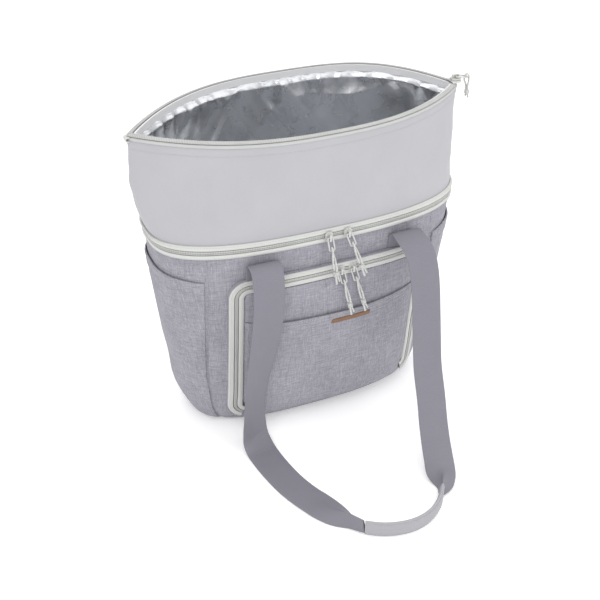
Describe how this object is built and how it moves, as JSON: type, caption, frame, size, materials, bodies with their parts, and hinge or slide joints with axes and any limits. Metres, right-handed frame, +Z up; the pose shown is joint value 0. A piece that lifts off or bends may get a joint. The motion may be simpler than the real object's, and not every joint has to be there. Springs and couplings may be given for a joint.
{
  "type": "insulated cooler tote bag",
  "caption": "Two-compartment insulated tote: an open zipped mouth, an upper section that tilts back over a tapered lower section, zipped front pocket and two webbing carrying straps.",
  "frame": {"origin": "centre of the base, on the floor it stands on", "axes": "+Z up, -Y to the front pocket, +X to the right as seen from the front"},
  "size_m": [0.432, 0.616, 0.4014],
  "materials": {
    "heather_cloth": "matt heathered linen-look weave",
    "coated_cloth": "smooth satin coated cloth",
    "zip_tape": "ribbed off-white tape",
    "zip_coil": "grey nylon coil",
    "foil": "crinkled silver film, metallic",
    "foam": "closed-cell foam",
    "board": "grey stiffener board",
    "tag_leather": "smooth brown leather",
    "webbing": "flat woven webbing",
    "grip_cloth": "light woven cloth",
    "pull_cord": "off-white braided cord",
    "painted_zip_metal": "off-white painted zip metal"
  },
  "bodies": {
    "lower_compartment": {"lower_front_panel": "heather_cloth", "lower_back_panel": "heather_cloth", "lower_left_panel": "heather_cloth", "lower_right_panel": "heather_cloth", "base_panel": "heather_cloth", "lower_insulation": "foam", "lower_liner": "foil", "base_board": "board", "left_slip_pocket": "heather_cloth", "right_slip_pocket": "heather_cloth", "mid_zip_tape_lower": "zip_tape", "mid_zip_coil_lower": "zip_coil", "hinge_cloth_lower": "heather_cloth", "pocket_gusset": "heather_cloth", "pocket_tape_outer": "zip_tape", "pocket_coil_outer": "zip_coil", "pocket_coil_inner": "zip_coil", "pocket_tape_inner": "zip_tape", "pocket_panel": "heather_cloth", "front_slip_pocket": "heather_cloth", "leather_tag": "tag_leather", "front_anchor_left": "webbing", "front_anchor_right": "webbing", "rear_anchor_left": "webbing", "rear_anchor_right": "webbing"},
    "upper_compartment": {"upper_front_panel": "coated_cloth", "upper_back_panel": "coated_cloth", "upper_insulation": "foam", "upper_liner": "foil", "upper_floor": "coated_cloth", "mid_zip_tape_upper": "zip_tape", "mid_zip_coil_upper": "zip_coil", "hinge_cloth_upper": "coated_cloth", "mouth_tape_front": "zip_tape", "mouth_coil_front": "zip_coil", "mouth_tape_back": "zip_tape", "mouth_coil_back": "zip_coil", "mouth_tab": "coated_cloth", "mouth_zip_tail": "zip_tape"},
    "mid_left_slider": {"mid_left_slider": "painted_zip_metal"},
    "mid_left_pull": {"mid_left_puller": "painted_zip_metal", "mid_left_cord": "pull_cord"},
    "mid_right_slider": {"mid_right_slider": "painted_zip_metal"},
    "mid_right_pull": {"mid_right_puller": "painted_zip_metal", "mid_right_cord": "pull_cord"},
    "pocket_left_slider": {"pocket_left_slider": "painted_zip_metal"},
    "pocket_left_pull": {"pocket_left_puller": "painted_zip_metal", "pocket_left_cord": "pull_cord"},
    "pocket_right_slider": {"pocket_right_slider": "painted_zip_metal"},
    "pocket_right_pull": {"pocket_right_puller": "painted_zip_metal", "pocket_right_cord": "pull_cord"},
    "mouth_slider": {"mouth_slider": "painted_zip_metal"},
    "mouth_pull": {"mouth_puller": "painted_zip_metal", "mouth_cord": "pull_cord"},
    "front_strap": {"front_strap_left": "webbing", "front_strap_right": "webbing", "front_grip": "grip_cloth"},
    "rear_strap": {"rear_strap_left": "webbing", "rear_strap_right": "webbing", "rear_grip": "grip_cloth"}
  },
  "joints": [
    {"name": "upper_tilt", "type": "hinge", "parent": "lower_compartment", "child": "upper_compartment", "pos_m": [0, 0.084, 0.2695], "axis": [-1, 0, 0], "range_deg": [0, 95]},
    {"name": "mid_left_slide", "type": "slide", "parent": "lower_compartment", "child": "mid_left_slider", "axis": [1, 0, 0], "range_m": [-0.047, 0]},
    {"name": "mid_left_pull_swing", "type": "hinge", "parent": "mid_left_slider", "child": "mid_left_pull", "pos_m": [-0.003, -0.0894, 0.2695], "axis": [-0.9928, 0, -0.1197], "range_deg": [0, 150]},
    {"name": "mid_right_slide", "type": "slide", "parent": "lower_compartment", "child": "mid_right_slider", "axis": [1, 0, 0], "range_m": [0, 0.018]},
    {"name": "mid_right_pull_swing", "type": "hinge", "parent": "mid_right_slider", "child": "mid_right_pull", "pos_m": [0.021, -0.08934, 0.2695], "axis": [-0.946, 0, -0.324], "range_deg": [0, 150]},
    {"name": "pocket_left_slide", "type": "slide", "parent": "lower_compartment", "child": "pocket_left_slider", "axis": [1, 0, 0], "range_m": [-0.047, 0]},
    {"name": "pocket_left_pull_swing", "type": "hinge", "parent": "pocket_left_slider", "child": "pocket_left_pull", "pos_m": [0.012, -0.09187, 0.2216], "axis": [-0.9801, 0, -0.1987], "range_deg": [0, 150]},
    {"name": "pocket_right_slide", "type": "slide", "parent": "lower_compartment", "child": "pocket_right_slider", "axis": [1, 0, 0], "range_m": [0, 0.012]},
    {"name": "pocket_right_pull_swing", "type": "hinge", "parent": "pocket_right_slider", "child": "pocket_right_pull", "pos_m": [0.0275, -0.09176, 0.2216], "axis": [-0.9689, 0, -0.2474], "range_deg": [0, 150]},
    {"name": "mouth_slide", "type": "slide", "parent": "upper_compartment", "child": "mouth_slider", "axis": [1, 0, 0], "range_m": [-0.003, 0]},
    {"name": "mouth_pull_swing", "type": "hinge", "parent": "mouth_slider", "child": "mouth_pull", "pos_m": [0.201, 0, 0.39906], "axis": [0, -1, 0], "range_deg": [0, 140]},
    {"name": "front_strap_lift", "type": "hinge", "parent": "lower_compartment", "child": "front_strap", "pos_m": [0, -0.0924, 0.253], "axis": [-1, 0, 0], "range_deg": [0, 130]},
    {"name": "rear_strap_lift", "type": "hinge", "parent": "lower_compartment", "child": "rear_strap", "pos_m": [0, 0.0924, 0.253], "axis": [-1, 0, 0], "range_deg": [-130, 0]}
  ]
}
